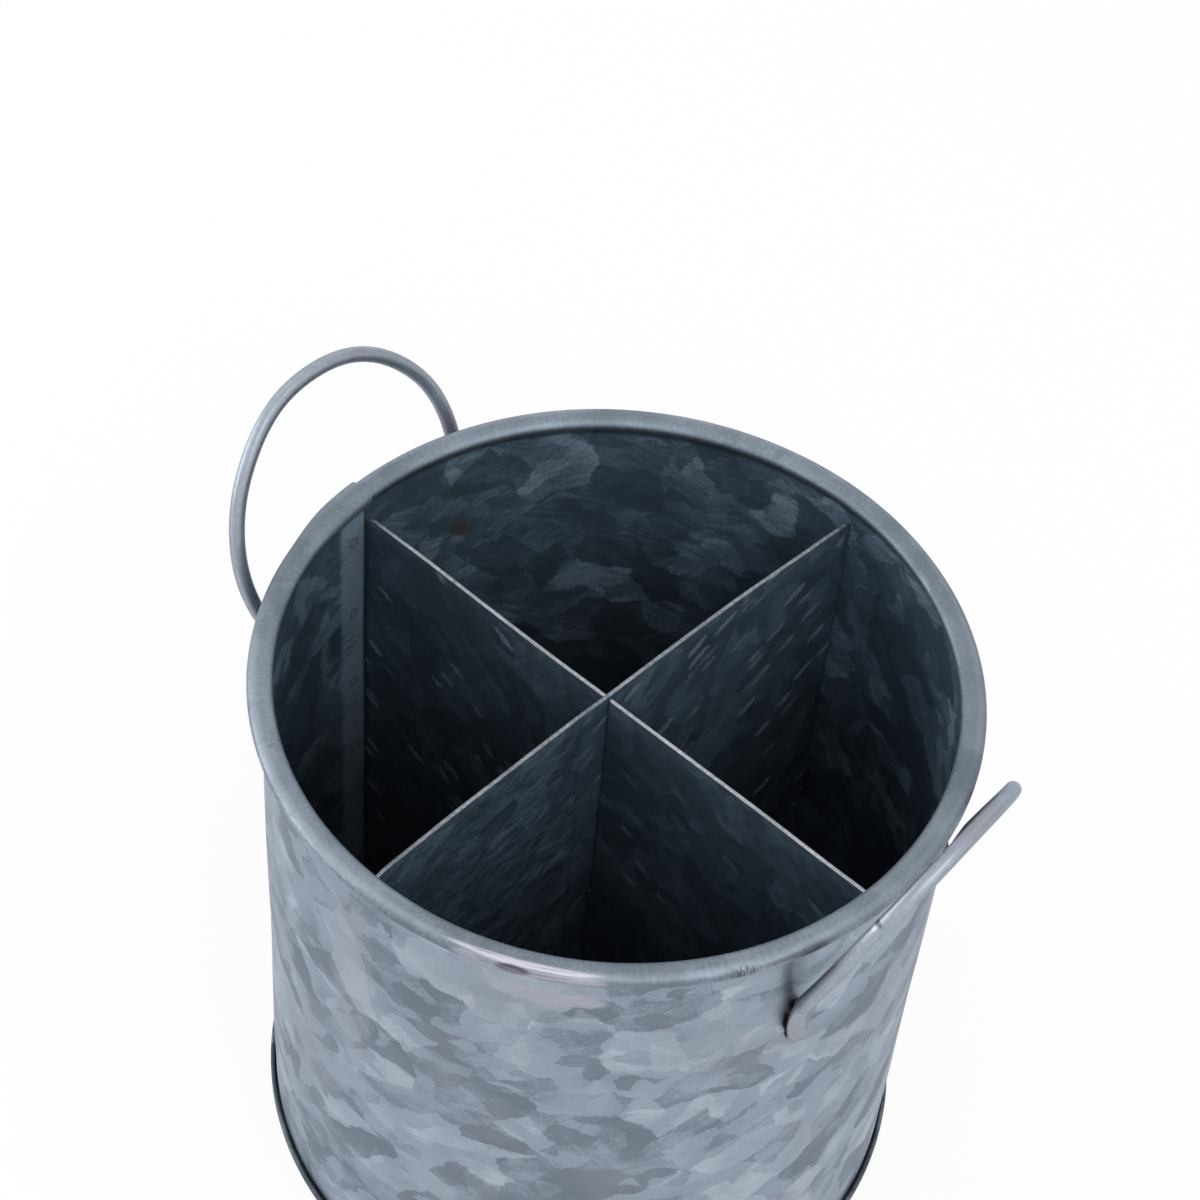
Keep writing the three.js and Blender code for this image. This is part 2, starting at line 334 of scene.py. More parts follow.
# %% [markdown]
# Dents come next. The heat and the clamp of each weld have drawn the wall in, and below the rim a
# crease runs up from the weld. The lap has a row of small round dimples where the spot welder held it.
# The whole wall also wanders by a fraction of a millimetre, which is what breaks up the reflections on
# real thin sheet.

# %% Dents, dimples and wander
spot_weld_count = 6
spot_spacing = (rim_height - base_thickness) / spot_weld_count
spot_heights = [base_thickness + spot_spacing * (index + 0.5) for index in range(spot_weld_count)]
crease_depths = (1.0, 0.5, 0.5, 0.5)
dent_depth = 0.6
valley_depth = 0.65
swell_rise = 0.3
dimple_size = 1.5
dimple_depth = 0.14
wander_size = 42
wander_depth = 0.28
ripple_size = 15
ripple_depth = 0.06
rim_bump_size = 30
rim_bump_rise = 0.12
rim_bump_seed = 300


def beside(angle, mark):
    return np.radians(turn_between(angle, mark)) * wall_outer_radius


def weld_dents(angle, height):
    shift = np.zeros_like(angle)
    for (mark, level), crease in zip(weld_spots, crease_depths):
        across = beside(angle, mark)
        above = height - level
        shift -= dent_depth * crease * np.exp(-((across + 3) / 5) ** 2 - (above / 8) ** 2)
        valley = np.exp(-((across - 2.0 + 0.08 * above) / 2.4) ** 2) * ease(above, 1, 10)
        swell = np.exp(-((across + 8) / 4.5) ** 2) * ease(above, 0, 8)
        fade = 1 - ease(height, 138, 145.5)
        shift += crease * fade * (swell_rise * swell - valley_depth * valley)
    return shift


def spot_marks(angle, height):
    across = beside(angle, seam_angle + lap_angle / 2)
    marks = np.zeros_like(angle)
    for level in spot_heights:
        marks += np.exp(-((across / dimple_size) ** 2 + ((height - level) / dimple_size) ** 2))
    return marks


# %% Sweep the sheet
def wall_shift(angle, height):
    spread = on_ring(wall_outer_radius, angle, height)
    wander = uneven(spread, wander_size) * wander_depth + uneven(spread, ripple_size) * ripple_depth
    wander *= ease(height, 3, 25) * (1 - 0.6 * ease(height, 125, 146))
    return wander + weld_dents(angle, height)


def sweep_body():
    angle = (seam_angle + travel)[:, None] * np.ones(len(body_line))
    height = np.ones(len(travel))[:, None] * body_line[:, 1]
    spread = on_ring(wall_outer_radius, angle, height)
    shift = wall_shift(angle, height)
    bump_up = uneven(spread + rim_bump_seed, rim_bump_size) * rim_bump_rise * ease(height, 140, 147)
    dimple = spot_marks(angle, height) * dimple_depth
    heading = np.radians(body_line[:, 2])
    skins = []
    for depth, press in ((sheet_thickness / 2, -1), (-sheet_thickness / 2, 1)):
        reach = lap_set[:, None] + depth + press * dimple
        radius = body_line[:, 0] - reach * np.sin(heading) + shift
        level = body_line[:, 1] + reach * np.cos(heading) + bump_up
        skins.append(on_ring(radius, angle, level))
    return skins, angle, height


(inner_skin, outer_skin), body_angle, body_height = sweep_body()
body_points = np.concatenate((inner_skin, outer_skin[:, ::-1]), 1)
ring_size = body_points.shape[1]
print("one ring of the sheet has", ring_size, "points")

# %% Faces of the sheet
def sweep_faces(ring_count, ring_size):
    faces = []
    for ring in range(ring_count - 1):
        here = ring * ring_size
        for side in range(ring_size):
            turn = (side + 1) % ring_size
            faces.append((here + side, here + turn, here + ring_size + turn, here + ring_size + side))
    return faces


def cap_faces(first, ring_size):
    faces = []
    for side in range(ring_size // 2 - 1):
        far = ring_size - 1 - side
        faces.append((first + side, first + side + 1, first + far - 1, first + far))
    return faces


body_faces = sweep_faces(len(travel), ring_size)
body_faces += cap_faces(0, ring_size)
body_faces += cap_faces((len(travel) - 1) * ring_size, ring_size)
body = lay_mesh("body_sheet", body_points.reshape(-1, 3), body_faces)

# %% [markdown]
# The sheet was spangled while it was still flat. So its pattern is laid out in flat coordinates:
# millimetres along the strip, millimetres up it, and a jump between its two faces. Stored on the
# points, these carry the pattern round the bend and into the roll of the rim.
# A second set of places is measured from the nearest weld: along the flat tip of the wire and across
# it. A finish that reads places can draw a line far finer than the mesh, here the painted shadow of the
# slit beside a tip, which a number stored on the points can't.

# %% Numbers that the body's finish reads
face_jump = 700


def both_faces(outer_values, inner_values):
    return np.concatenate((inner_values, outer_values[:, ::-1]), 1)


def weld_offset(index, angle, height):
    mark, level = weld_spots[index]
    slant = weld_slants[index]
    across = beside(angle, mark)
    above = height - level
    along = above * math.cos(slant) + across * math.sin(slant)
    aside = across * math.cos(slant) - above * math.sin(slant)
    return along, -aside if index % 2 else aside


def weld_places():
    nearest = np.full(body_angle.shape, 1e6)
    places = np.zeros((*body_angle.shape, 3))
    for index in range(len(weld_spots)):
        along, aside = weld_offset(index, body_angle, body_height)
        here = np.stack((along, aside, aside * 0 + index * 50), -1)
        distance = np.hypot(along, aside)
        places = np.where((distance < nearest)[..., None], here, places)
        nearest = np.minimum(distance, nearest)
    return places


def body_marks():
    along = np.radians(travel)[:, None] * wall_middle * np.ones(len(body_line))
    up = np.ones(len(travel))[:, None] * line_length
    flat = np.zeros_like(along)
    past_bend = np.arange(len(body_line)) - (rim_first - 3)
    rolled = flat + ease(past_bend, 0, 8)
    flank = ease(-body_line[:, 2], 25, 75) * (past_bend > 0)
    lap = (1 - ease(travel, lap_angle * 0.95, lap_angle * 1.25))[:, None] * (1 - rolled)
    weld = weld_places()
    outer_place = np.stack((along, up, flat), -1)
    inner_place = np.stack((along + face_jump, up, flat), -1)
    places = {"sheet_place": both_faces(outer_place, inner_place), "weld_place": both_faces(weld, weld)}
    numbers = {
        "inside": both_faces(flat, 1 - rolled),
        "rim": both_faces(rolled, rolled * (1 - 0.75 * flank)),
        "lap": both_faces(flat, lap),
    }
    return places, numbers


body_places, body_numbers = body_marks()
for name, values in body_places.items():
    store_places(body, name, values)
for name, values in body_numbers.items():
    store_numbers(body, name, np.clip(values, 0, 1))
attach(body, "root")
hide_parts("body_wall")
print("stored on the body:", sorted(body_places) + sorted(body_numbers))

# %% [markdown]
# ## The foot
# The bottom is a flat disc. Its edge stands up round the wall and is hemmed back down on the outside,
# which shows as a thin bead round the foot. A lathe is the right tool for it: one outline, turned about
# the axis. The outline's corners are rounded first, because folded sheet has no sharp edges.

# %% Outline of the pan
hem_height = 2.5
hem_gap = 0.12
stand_inner = wall_outer_radius + fit_gap
stand_outer = stand_inner + sheet_thickness
hem_inner = stand_outer + hem_gap
hem_outer = hem_inner + sheet_thickness
floor_rings = (12, 30, 48, 62, 71)
pan_sides = 240


def arc(middle_radius, middle_height, size, first, last, count):
    turns = np.radians(np.linspace(first, last, count))
    return [(middle_radius + size * math.cos(t), middle_height + size * math.sin(t)) for t in turns]


def pan_outline():
    fold = (hem_outer - stand_inner) / 2
    crown = hem_height - fold
    outline = [(radius, 0.0) for radius in floor_rings]
    outline += arc(stand_outer - 0.4, 0.4, 0.4, -90, 0, 5)
    outline += [(stand_outer, crown), (hem_inner, crown), (hem_inner, sheet_thickness + 0.1)]
    outline += arc(hem_outer - 0.2, sheet_thickness + 0.2, 0.2, -90, 0, 4)
    outline += arc((hem_outer + stand_inner) / 2, crown, fold, 0, 180, 11)
    outline += [(stand_inner, base_thickness + 0.4), (stand_inner - 0.2, base_thickness)]
    outline += [(radius, base_thickness) for radius in floor_rings[::-1]]
    return np.array(outline)


pan_line = pan_outline()
print("outline of the pan:", len(pan_line), "points")

# %% Turn the pan
def turn_pan():
    turns = np.radians(seam_angle + np.arange(pan_sides) * 360 / pan_sides)
    rings = []
    for turn in turns:
        edge = ease(pan_line[:, 0], wall_outer_radius - 1, hem_outer)
        wobble = noise.noise(Vector((math.cos(turn) * 3, math.sin(turn) * 3, 5))) * 0.06 * edge
        radius = pan_line[:, 0] + wobble
        rings.append(np.stack((radius * math.cos(turn), radius * math.sin(turn), pan_line[:, 1]), -1))
    points = np.concatenate(rings)
    size = len(pan_line)
    faces = []
    for ring in range(pan_sides):
        here = ring * size
        after = ((ring + 1) % pan_sides) * size
        for side in range(size - 1):
            faces.append((here + side, here + side + 1, after + side + 1, after + side))
    faces.append(tuple(ring * size for ring in range(pan_sides)))
    faces.append(tuple(ring * size + size - 1 for ring in range(pan_sides)))
    return points, faces


pan_points, pan_faces = turn_pan()
pan = lay_mesh("base_pan_hemmed", pan_points, pan_faces)
store_places(pan, "sheet_place", pan_points)
store_numbers(pan, "inside", 1 - ease(np.hypot(pan_points[:, 0], pan_points[:, 1]), 74.6, 75.2))
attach(pan, "root")
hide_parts("base_pan")

# %% [markdown]
# ## The divider
# Two plates of the same sheet, each as wide as the tin, are halved together: one has a slot from its
# top edge, the other from its foot. They are dropped in loose, so they stand a little off the middle
# and one of them is not quite square to the other. The cut edges are bare and bright, and the plates
# are never quite flat. An outline with a Solidify and a Bevel modifier gives the plate and its softened
# edges. To let a flat plate bow, it needs points across its faces, so it is sliced by a grid of planes
# before it is bent.

# %% Outline of a plate
plate_thickness = 1.0
plate_drop = 9.0
plate_half = wall_outer_radius - sheet_thickness - fit_gap
plate_foot = base_thickness + fit_gap
plate_top = rim_top_height - plate_drop
plate_middle = (plate_foot + plate_top) / 2
slot_half = plate_thickness / 2 + fit_gap
edge_softness = 0.24
slice_along = 4.0
slice_up = 5.0
plate_ripple = 0.55
# in each plate's settings, a share of painted shade darkens the plate's whole colour
plates = {
    "divider_under": SimpleNamespace(
        slot_from_top=True, turn=0, shift=(0, -1.4), slot_place=-1.2, corners=(4.0, 3.0), sag=0.0,
        lift=(0.6, 0.0), edge_wear=0.16, plate_shade=0.28, scraped=(0.4, 0.2),
    ),
    "divider_over": SimpleNamespace(
        slot_from_top=False, turn=87.35, shift=(-0.9, 0), slot_place=-1.4, corners=(10.0, 2.5), sag=-1.4,
        lift=(0.0, 2.0), edge_wear=0.0, plate_shade=0.0, scraped=(0.05, 1.0),
    ),
}


def rounded_corner(side, size, lift):
    corner = np.array((side * plate_half, plate_top))
    start = corner - (0, size)
    end = corner - (side * size, 0)
    parts = np.linspace(0, 1, 9)[:, None]
    curve = (1 - parts) ** 2 * start + 2 * parts * (1 - parts) * corner + parts ** 2 * end
    curve[:, 1] += lift * ease(np.abs(curve[:, 0]), plate_half - 9, plate_half)
    return [tuple(point) for point in (curve if side > 0 else curve[::-1])]


def slot_outline(setting, edge, end):
    start = setting.slot_place - slot_half
    stop = setting.slot_place + slot_half
    return [(start, edge), (start, end), (stop, end), (stop, edge)]


def plate_outline(setting):
    outline = [(-plate_half, plate_foot)]
    if not setting.slot_from_top:
        outline += slot_outline(setting, plate_foot, plate_middle + fit_gap / 2)
    outline.append((plate_half, plate_foot))
    outline += rounded_corner(1, setting.corners[1], setting.lift[1])
    if setting.slot_from_top:
        outline += slot_outline(setting, plate_top, plate_middle - fit_gap / 2)[::-1]
    outline += rounded_corner(-1, setting.corners[0], setting.lift[0])
    return outline


for name, setting in plates.items():
    print("outline of", name, "has", len(plate_outline(setting)), "points")

# %% Cut, soften and bow a plate
def cut_plate(setting):
    shell = bmesh.new()
    half = plate_thickness / 2
    corners = [shell.verts.new((x, -half, z)) for x, z in plate_outline(setting)]
    face = shell.faces.new(corners)
    grown = bmesh.ops.extrude_face_region(shell, geom=[face])
    lifted = [item for item in grown["geom"] if isinstance(item, bmesh.types.BMVert)]
    bmesh.ops.translate(shell, verts=lifted, vec=(0, plate_thickness, 0))
    bmesh.ops.recalc_face_normals(shell, faces=shell.faces)
    rims = [edge for edge in shell.edges if edge.calc_face_angle(0) > 1.2 and
            abs(edge.verts[0].co.y - edge.verts[1].co.y) < 0.1]
    bmesh.ops.bevel(shell, geom=rims, offset=edge_softness, segments=2, profile=0.5, affect="EDGES")
    return shell


def slice_plate(shell):
    cuts = [((x, 0, 0), (1, 0, 0)) for x in np.arange(-72, 73, slice_along) + 0.1]
    cuts += [((0, 0, z), (0, 0, 1)) for z in np.arange(5, 140, slice_up)]
    for place, normal in cuts:
        everything = shell.verts[:] + shell.edges[:] + shell.faces[:]
        bmesh.ops.bisect_plane(shell, geom=everything, plane_co=place, plane_no=normal, dist=1e-4)


def plate_bow(x, z, sag, seed):
    free = 1 - ease(np.abs(x), 45, 72)
    held = ease(np.abs(x), 1.5, 14)
    high = ease(z, 30, 120)
    ripple = plate_ripple * free * held * high * noise.noise(Vector((x / 38, z / 60, seed)))
    return ripple + sag * ((x / plate_half) ** 2 - 0.18)


def make_plate(name, setting, seed):
    shell = cut_plate(setting)
    slice_plate(shell)
    for vert in shell.verts:
        vert.co.y += plate_bow(vert.co.x, vert.co.z, setting.sag, seed)
    mesh = bpy.data.meshes.new(name)
    shell.to_mesh(mesh)
    shell.free()
    places = np.array([vert.co for vert in mesh.vertices])
    edges = [1.0 if abs(face.normal.y) < 0.5 else 0.0 for face in mesh.polygons]
    mesh.transform(Matrix.Rotation(math.radians(setting.turn), 4, "Z"))
    mesh.transform(Matrix.Translation((*setting.shift, 0)))
    mesh.transform(Matrix.Scale(mm, 4))
    mesh.shade_smooth()
    mesh.set_sharp_from_angle(angle=math.radians(50))
    bare = mesh.attributes.new("bare_edge", "FLOAT", "FACE")
    bare.data.foreach_set("value", edges)
    plate = bpy.data.objects.new(name, mesh)
    bpy.context.collection.objects.link(plate)
    mirror = -1 if setting.slot_from_top else 1
    store_places(plate, "sheet_place", places[:, (0, 2, 1)] * (mirror, 1, 1) + (seed * 900, 0, 0))
    store_numbers(plate, "edge_wear", np.full(len(places), setting.edge_wear))
    store_numbers(plate, "plate_shade", np.full(len(places), setting.plate_shade))
    store_numbers(plate, "scraped", np.interp(places[:, 0], (-12, 12), setting.scraped))
    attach(plate, "root")
    print(name, "has", len(mesh.vertices), "points")
    return plate


plate_under = make_plate("divider_under", plates["divider_under"], 1.7)
plate_over = make_plate("divider_over", plates["divider_over"], 4.3)
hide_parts("divider_plate_under")
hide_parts("divider_plate_over")

# %% [markdown]
# ## The handles
# The wire follows the path from above. Its cross-section is an oval that is round in the loop and flat
# at the ends, with the thin way pointing out from the wall. Real wire is drawn smooth but bent by hand,
# so the path wavers by a tenth or two of a millimetre and the hammered ends are a little uneven. The
# noise that makes it waver depends on a seed. It is set here, so that every run bends the same wire.

# %% Bend the wire
wire_sides = 20
wire_parts = 170
wire_jump = 40
wire_waver = 0.35
wire_seed = 7
hammer_dent = 0.03
noise.seed_set(wire_seed)


def wire_ring(middle, around, half_thickness, half_width, along):
    outward = np.array((math.cos(around), math.sin(around), 0))
    thin = outward - along * outward.dot(along)
    thin /= np.linalg.norm(thin)
    wide = np.cross(along, thin)
    turns = np.radians(np.arange(wire_sides) * 360 / wire_sides)[:, None]
    return middle + thin * np.cos(turns) * half_thickness + wide * np.sin(turns) * half_width


def bend_wire(setting, seed):
    turns = np.linspace(-setting.tip_turns[1], 180 + setting.tip_turns[0], wire_parts)
    places = [wire_place(turn, setting) for turn in turns]
    middles = np.array([place[0] for place in places])
    waver = np.array([noise.noise_vector(Vector((turn / 34, seed, 2))) for turn in turns])
    flats = [place[4] for place in places]
    middles += waver * wire_waver * (1 - np.array(flats))[:, None]
    along = np.gradient(middles, axis=0)
    along /= np.linalg.norm(along, axis=1)[:, None]
    length = np.concatenate(([0], np.cumsum(np.linalg.norm(np.diff(middles, axis=0), axis=1))))
    rings = []
    for part, (middle, around, half_thickness, half_width, flatness) in enumerate(places):
        dent = 1 + hammer_dent * flatness * noise.noise(Vector((turns[part] / 5, seed, 7)))
        rings.append(wire_ring(middles[part], around, half_thickness * dent, half_width, along[part]))
    return rings, flats, length, along, middles


def round_tip(ring, middle, along, sign, reach):
    made = []
    for turn in np.radians((25, 50, 72)):
        made.append(middle + (ring - middle) * math.cos(turn) + along * sign * reach * math.sin(turn))
    return made


# %% Skin the handles
def make_handle(name, setting, seed):
    rings, flats, length, along, middles = bend_wire(setting, seed)
    reach = tip_thickness * 0.55
    first = round_tip(rings[0], middles[0], along[0], -1, reach)[::-1]
    last = round_tip(rings[-1], middles[-1], along[-1], 1, reach)
    rings = first + rings + last
    flats = [1.0] * 3 + flats + [1.0] * 3
    length = [0.0] * 3 + list(length) + [length[-1]] * 3
    faces = sweep_faces(len(rings), wire_sides)
    faces.append(tuple(range(wire_sides)))
    faces.append(tuple(range((len(rings) - 1) * wire_sides, len(rings) * wire_sides)))
    points = np.concatenate(rings)
    turned = math.radians(setting.angle)
    cosine = math.cos(turned)
    sine = math.sin(turned)
    spin = np.array(((cosine, -sine, 0), (sine, cosine, 0), (0, 0, 1)))
    handle = lay_mesh(name, points @ spin.T, faces, 60)
    side = np.tile(np.arange(wire_sides) / wire_sides, len(rings)) * math.tau
    run = np.repeat(length, wire_sides)
    half = wire_diameter / 2
    on_wire = np.stack((run, np.cos(side) * half, np.sin(side) * half), -1)
    store_places(handle, "wire_place", on_wire + seed * wire_jump)
    store_numbers(handle, "burn", np.repeat(ease(np.array(flats), 0.3, 1), wire_sides))
    # painted shade: the side of the wire that faces the wall is marked, mostly on the low legs
    heights = points[:, 2] - setting.foot_height
    leg_share = 0.3 + 0.7 * (1 - ease(heights, 18, 34))
    store_numbers(handle, "wall_side_shade", ease(-np.cos(side), -0.3, 0.7) * leg_share)
    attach(handle, "root")
    return handle


first_seed = 3.1
loops = []
for number, (node_name, setting) in enumerate(handles.items()):
    loop = make_handle(node_name + "_loop", setting, first_seed + number)
    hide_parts(node_name)
    loops.append(loop)

# %% [markdown]
# ## The welds
# A weld is a small frozen puddle. Each handle end is held by a low apron of metal that fills the corner
# between the flat tip and the wall. A metaball would be quick, but a patch of points pushed out by
# noise is easier to keep thin. Every apron here is a low dome beside the tip: long along it, narrow
# across it, and thinned out to nothing at a ragged edge.

# %% Weld aprons
apron_rows = 14
apron_sides = 32
apron_half_length = 6.4
apron_half_width = 3.6
apron_rise = 1.2
apron_sink = 0.06
apron_rag = 0.25
apron_lump = 0.1
apron_back = 0.6
apron_aside = 1.7
apron_seed_step = 3.3


def apron_points(index):
    angle, height = weld_spots[index]
    slant = weld_slants[index]
    side = -1 if index % 2 else 1
    points = []
    for row in range(apron_rows + 1):
        part = row / apron_rows
        for step in range(apron_sides):
            turn = step / apron_sides * math.tau
            round_place = Vector((math.cos(turn) * 1.5, math.sin(turn) * 1.5, index * apron_seed_step))
            size = part * (1 + apron_rag * noise.noise(round_place))
            along = apron_half_length * size * math.cos(turn) - apron_back
            across = apron_half_width * size * math.sin(turn) + side * apron_aside
            lump_place = Vector((along / 2.5, across / 2.5, index * apron_seed_step))
            lump = 1 + apron_lump * noise.noise(lump_place)
            rise = apron_rise * (1 - float(ease(part, 0, 1))) * lump - apron_sink
            up = along * math.cos(slant) - across * math.sin(slant)
            sideways = along * math.sin(slant) + across * math.cos(slant)
            points.append((angle + math.degrees(sideways / wall_outer_radius), height + up, rise))
    angles, heights, rises = np.array(points).T
    set_in = np.interp((angles - seam_angle) % 360, travel, lap_set)
    radius = wall_outer_radius + wall_shift(angles, heights) - set_in + rises
    return on_ring(radius, angles, heights)


def make_apron(index):
    points = apron_points(index)
    faces = sweep_faces(apron_rows + 1, apron_sides)
    last = apron_rows * apron_sides
    faces.append(tuple(range(last, last + apron_sides)))
    apron = lay_mesh("handle_weld_" + str(index + 1), points, faces, 80)
    shell = bmesh.new()
    shell.from_mesh(apron.data)
    bmesh.ops.remove_doubles(shell, verts=shell.verts, dist=1e-6)
    shell.to_mesh(apron.data)
    shell.free()
    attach(apron, "root")
    return apron


aprons = [make_apron(index) for index in range(len(weld_spots))]

# %% [markdown]
# ## Helpers for finishes
# A finish is a tree of shader nodes. These helpers make the trees short to write. One feeds a socket with
# a number or with another socket, one adds a node with its settings and its feeds, and the rest wrap the
# few nodes that come up again and again. Every socket knows the tree that it belongs to, so a helper finds
# out by itself where its new node has to go.

# %% Node helpers: numbers
def feed(socket, value):
    if isinstance(value, bpy.types.NodeSocket):
        socket.id_data.links.new(value, socket)
    else:
        socket.default_value = value


def add_node(tree, kind, feeds, **settings):
    made = tree.nodes.new("ShaderNode" + kind)
    for name, value in settings.items():
        setattr(made, name, value)
    for name, value in feeds.items():
        feed(made.inputs[name], value)
    return made.outputs


def home_of(*values):
    return next(value.id_data for value in values if isinstance(value, bpy.types.NodeSocket))


def reckon(operation, *values):
    return add_node(home_of(*values), "Math", dict(enumerate(values)), operation=operation)[0]


times = partial(reckon, "MULTIPLY")
plus = partial(reckon, "ADD")
less = partial(reckon, "SUBTRACT")
larger = partial(reckon, "MAXIMUM")
times_plus = partial(reckon, "MULTIPLY_ADD")


def swing(value, reach):
    return times(less(value, 0.5), reach)


def band(value, low, high, first=0.0, last=1.0):
    feeds = dict(enumerate((value, low, high, first, last)))
    return add_node(value.id_data, "MapRange", feeds, interpolation_type="SMOOTHSTEP")[0]


# %% Node helpers: places and patterns
def reckon_place(operation, first, second):
    other = "Scale" if operation == "SCALE" else 1
    return add_node(first.id_data, "VectorMath", {0: first, other: second}, operation=operation)[0]


stretch = partial(reckon_place, "MULTIPLY")
move = partial(reckon_place, "ADD")


def lean_over(place, angle):
    feeds = {"Vector": place, "Angle": angle}
    return add_node(place.id_data, "VectorRotate", feeds, rotation_type="Z_AXIS")[0]


def clouds(place, scale, detail=2.0, roughness=0.5, output="Fac"):
    feeds = {"Vector": place, "Scale": scale, "Detail": detail, "Roughness": roughness}
    return add_node(place.id_data, "TexNoise", feeds)[output]


def shake(place, scale, detail, roughness, reach):
    middle = reckon_place("SUBTRACT", clouds(place, scale, detail, roughness, "Color"), (0.5, 0.5, 0.5))
    return reckon_place("SCALE", middle, reach)


def cells(place, scale, softness=0.0):
    feeds = {"Vector": place, "Scale": scale}
    feature = "F1"
    if softness:
        feeds["Smoothness"] = softness
        feature = "SMOOTH_F1"
    return add_node(place.id_data, "TexVoronoi", feeds, voronoi_dimensions="2D", feature=feature)


def patch(place, middle, half_size, softness=0.35):
    offset = reckon_place("SUBTRACT", place, (*middle, 0))
    scaled = stretch(offset, (1 / half_size[0], 1 / half_size[1], 0))
    distance = add_node(place.id_data, "VectorMath", {0: scaled}, operation="LENGTH")["Value"]
    return band(distance, 1 + softness, 1 - softness)


# %% Node helpers: colours
def blend(share, first, second, mode="MIX"):
    feeds = {0: share, 6: first, 7: second}
    return add_node(home_of(share, first, second), "Mix", feeds, data_type="RGBA", blend_type=mode)[2]


def lay_on(colour, marks):
    for mask, tint in marks:
        colour = blend(mask, colour, (*tint, 1))
    return colour


def one_channel(colour, channel=0):
    return add_node(colour.id_data, "SeparateColor", {0: colour})[channel]


def ramp(value, stops):
    made = value.id_data.nodes.new("ShaderNodeValToRGB")
    feed(made.inputs[0], value)
    while len(made.color_ramp.elements) < len(stops):
        made.color_ramp.elements.new(0.5)
    for element, (place, colour) in zip(made.color_ramp.elements, stops):
        element.position = place
        element.color = (*colour, 1)
    return made.outputs[0]


# %% Node helpers: stored numbers and groups
def stored(tree, name, output="Fac"):
    return add_node(tree, "Attribute", {}, attribute_name=name)[output]


def new_group(name, inputs, outputs):
    tree = bpy.data.node_groups.new(name, "ShaderNodeTree")
    for socket, (kind, value) in inputs.items():
        made = tree.interface.new_socket(name=socket, in_out="INPUT", socket_type="NodeSocket" + kind)
        if value is not None:
            made.default_value = value
    for socket, kind in outputs.items():
        tree.interface.new_socket(name=socket, in_out="OUTPUT", socket_type="NodeSocket" + kind)
    return tree, tree.nodes.new("NodeGroupInput").outputs, tree.nodes.new("NodeGroupOutput").inputs


def use_group(tree, group, **values):
    feeds = {name.replace("_", " "): value for name, value in values.items()}
    return add_node(tree, "Group", feeds, node_tree=group)


# %% [markdown]
# ## Zinc spangle
# Hot-dipped zinc freezes into leaf-shaped crystals with torn edges, each a slightly different grey.
# They run across the sheet on a slant. A Voronoi texture gives cells of one tone each, and its smooth
# kind lets neighbours melt into each other a little. Its coordinates are first shaken by a coarse and a
# fine noise, which tears the straight cell walls, and then leant over and stretched.
# Two sizes of cell are mixed, so that large leaves hold smaller ones. A stretched noise adds the
# strokes that run inside a leaf.

# %% Group: zinc spangle
spangle, given, gives = new_group(
    "zinc spangle",
    {
        "Place": ("Vector", None),
        "Leaf Size": ("Float", 9.0),
        "Tear": ("Float", 3.0),
        "Lean": ("Float", 0.6),
    },
    {"Tone": "Float", "Stroke": "Float", "Height": "Float"},
)
coarse_tear = shake(given["Place"], 1 / 17, 2, 0.68, times(given["Tear"], 3.4))
combed = stretch(given["Place"], (0.5, 1.0, 1))
fine_tear = shake(combed, 1 / 2.0, 5, 0.68, times(given["Tear"], 1.1))
torn = move(move(given["Place"], coarse_tear), fine_tear)
leaning = lean_over(torn, times(given["Lean"], -1))
stretched = stretch(leaning, (0.82, 1.1, 1))
leaf_scale = reckon("DIVIDE", 1, given["Leaf Size"])
leaves = cells(stretched, leaf_scale, 0.06)["Color"]
small_leaf = one_channel(cells(stretched, times(leaf_scale, 2.3), 0.09)["Color"], 1)
own_turn = times_plus(one_channel(leaves, 2), 1.8, -0.9)
strokes = stretch(lean_over(given["Place"], own_turn), (0.14, 0.85, 1))
stroke = clouds(strokes, 1.0, 3, 0.6)
mixed = plus(times(one_channel(leaves), 0.62), times(small_leaf, 0.38))
feed(gives["Tone"], mixed)
feed(gives["Stroke"], stroke)
feed(gives["Height"], plus(mixed, times(stroke, 0.5)))
print("zinc spangle has", len(spangle.nodes), "nodes")

# %% [markdown]
# ## Fine grain, flecks and heat
# Three smaller effects are shared by several finishes. Fine grain is the matt bloom that zinc gets in
# the air. Flecks are short bright dashes where tools or cutlery have scraped the zinc, all on one
# slant. Heat runs from a brown tint to soot round a weld.

# %% Group: zinc bloom
bloom, given, gives = new_group(
    "zinc bloom",
    {"Place": ("Vector", None), "Size": ("Float", 1.0)},
    {"Speck": "Float", "Cloud": "Float"},
)
per_size = reckon("DIVIDE", 1, given["Size"])
feed(gives["Speck"], clouds(given["Place"], per_size, 4, 0.7))
feed(gives["Cloud"], clouds(given["Place"], times(per_size, 0.05), 3, 0.5))

# %% Group: scraped flecks
flecks, given, gives = new_group(
    "scraped flecks",
    {
        "Place": ("Vector", None),
        "Length": ("Float", 8.0),
        "Width": ("Float", 1.4),
        "Share": ("Float", 0.2),
        "Slant": ("Float", 0.8),
    },
    {"Mask": "Float"},
)
slanted = lean_over(given["Place"], times(given["Slant"], -1))
per_length = reckon("DIVIDE", 1, given["Length"])
per_width = reckon("DIVIDE", 1, given["Width"])
dashes = stretch(slanted, add_node(flecks, "CombineXYZ", {0: per_length, 1: per_width})[0])
shaken = reckon_place("SCALE", clouds(given["Place"], 0.7, 2, output="Color"), 0.5)
dash_cells = cells(move(dashes, shaken), 1.0)
core = band(dash_cells["Distance"], 0.5, 0.22)
chance = one_channel(dash_cells["Color"])
picked = less(1, reckon("DIVIDE", chance, given["Share"]))
brightness = band(picked, 0, 0.7)
feed(gives["Mask"], times(core, brightness))

